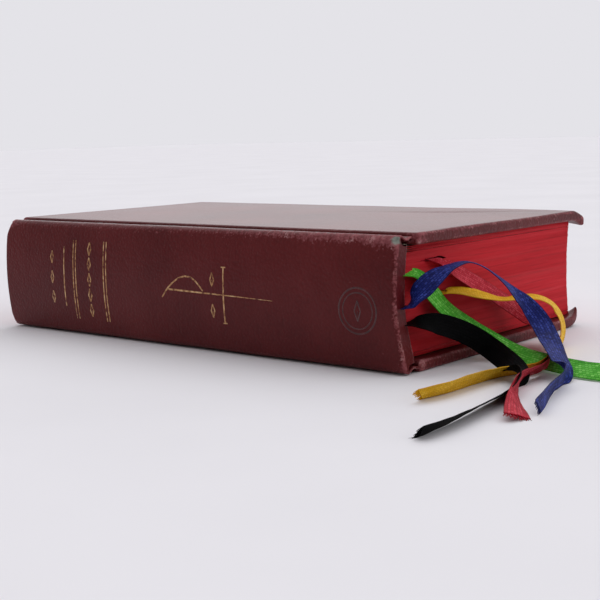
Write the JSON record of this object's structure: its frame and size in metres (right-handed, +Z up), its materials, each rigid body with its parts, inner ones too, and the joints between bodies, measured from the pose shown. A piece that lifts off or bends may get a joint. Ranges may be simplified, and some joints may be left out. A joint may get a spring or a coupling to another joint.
{
  "type": "prayer book",
  "caption": "Thick pocket prayer book in worn maroon grained leather, with red stained page edges, opening covers and coloured ribbon markers trailing from the tail.",
  "frame": {"origin": "under the middle of the closed covers, on the surface that the back cover lies on", "axes": "+X from the spine to the fore-edge, +Y from the tail to the head, +Z up through the front cover"},
  "size_m": [0.1511, 0.2099, 0.037],
  "materials": {
    "leather_maroon": "fine pebble grain, soft sheen, worn pale at the edges",
    "board_grey": "matt grey board",
    "paper_lining": "matt cream paper",
    "paper_red_edge": "cream paper with red stained edges",
    "spine_cloth": "open woven cotton",
    "spine_card": "matt brown card",
    "tape": "woven cotton tape",
    "ribbon_black": "woven satin ribbon",
    "ribbon_blue": "woven satin ribbon",
    "ribbon_yellow": "woven satin ribbon",
    "ribbon_green": "woven satin ribbon",
    "ribbon_red": "woven satin ribbon"
  },
  "bodies": {
    "text_block": {"leaf_group_1": "paper_red_edge", "leaf_group_2": "paper_red_edge", "leaf_group_3": "paper_red_edge", "leaf_group_4": "paper_red_edge", "leaf_group_5": "paper_red_edge", "leaf_group_6": "paper_red_edge", "sewing_tape_1": "tape", "sewing_tape_2": "tape", "sewing_tape_3": "tape", "spine_cloth": "spine_cloth", "spine_lining": "paper_lining", "spine_card": "spine_card", "spine_leather": "leather_maroon", "ribbon_strip_black": "ribbon_black", "ribbon_black": "ribbon_black", "ribbon_strip_blue": "ribbon_blue", "ribbon_blue": "ribbon_blue", "ribbon_strip_yellow": "ribbon_yellow", "ribbon_yellow": "ribbon_yellow", "ribbon_strip_green": "ribbon_green", "ribbon_green": "ribbon_green", "ribbon_strip_red": "ribbon_red", "ribbon_red": "ribbon_red"},
    "front_cover": {"front_cover_leather": "leather_maroon", "front_cover_board": "board_grey", "front_cover_lining": "paper_lining"},
    "back_cover": {"back_cover_leather": "leather_maroon", "back_cover_board": "board_grey", "back_cover_lining": "paper_lining"},
    "front_leaf_1": {"front_leaf_1": "paper_red_edge"},
    "front_leaf_2": {"front_leaf_2": "paper_red_edge"},
    "front_leaf_3": {"front_leaf_3": "paper_red_edge"},
    "back_leaf_1": {"back_leaf_1": "paper_red_edge"},
    "back_leaf_2": {"back_leaf_2": "paper_red_edge"}
  },
  "joints": [
    {"name": "front_cover_hinge", "type": "hinge", "parent": "text_block", "child": "front_cover", "pos_m": [-0.0455, 0, 0.03725], "axis": [0, -1, 0], "range_deg": [0, 180]},
    {"name": "back_cover_hinge", "type": "hinge", "parent": "text_block", "child": "back_cover", "pos_m": [-0.0455, 0, -0.00025], "axis": [0, 1, 0], "range_deg": [0, 180]},
    {"name": "front_leaf_1_turn", "type": "hinge", "parent": "text_block", "child": "front_leaf_1", "pos_m": [-0.0446, 0, 0.032], "axis": [0, -1, 0], "range_deg": [0, 18]},
    {"name": "front_leaf_2_turn", "type": "hinge", "parent": "text_block", "child": "front_leaf_2", "pos_m": [-0.0446, 0, 0.0325], "axis": [0, -1, 0], "range_deg": [0, 45]},
    {"name": "front_leaf_3_turn", "type": "hinge", "parent": "text_block", "child": "front_leaf_3", "pos_m": [-0.0446, 0, 0.033], "axis": [0, -1, 0], "range_deg": [0, 81]},
    {"name": "back_leaf_1_turn", "type": "hinge", "parent": "text_block", "child": "back_leaf_1", "pos_m": [-0.0446, 0, 0.0045], "axis": [0, 1, 0], "range_deg": [0, 36]},
    {"name": "back_leaf_2_turn", "type": "hinge", "parent": "text_block", "child": "back_leaf_2", "pos_m": [-0.0446, 0, 0.004], "axis": [0, 1, 0], "range_deg": [0, 81]}
  ],
  "couplings": [
    {"joint": "front_leaf_1_turn", "follows": "front_cover_hinge", "ratio": 0.1},
    {"joint": "front_leaf_2_turn", "follows": "front_cover_hinge", "ratio": 0.25},
    {"joint": "front_leaf_3_turn", "follows": "front_cover_hinge", "ratio": 0.45},
    {"joint": "back_leaf_1_turn", "follows": "back_cover_hinge", "ratio": 0.2},
    {"joint": "back_leaf_2_turn", "follows": "back_cover_hinge", "ratio": 0.45}
  ]
}
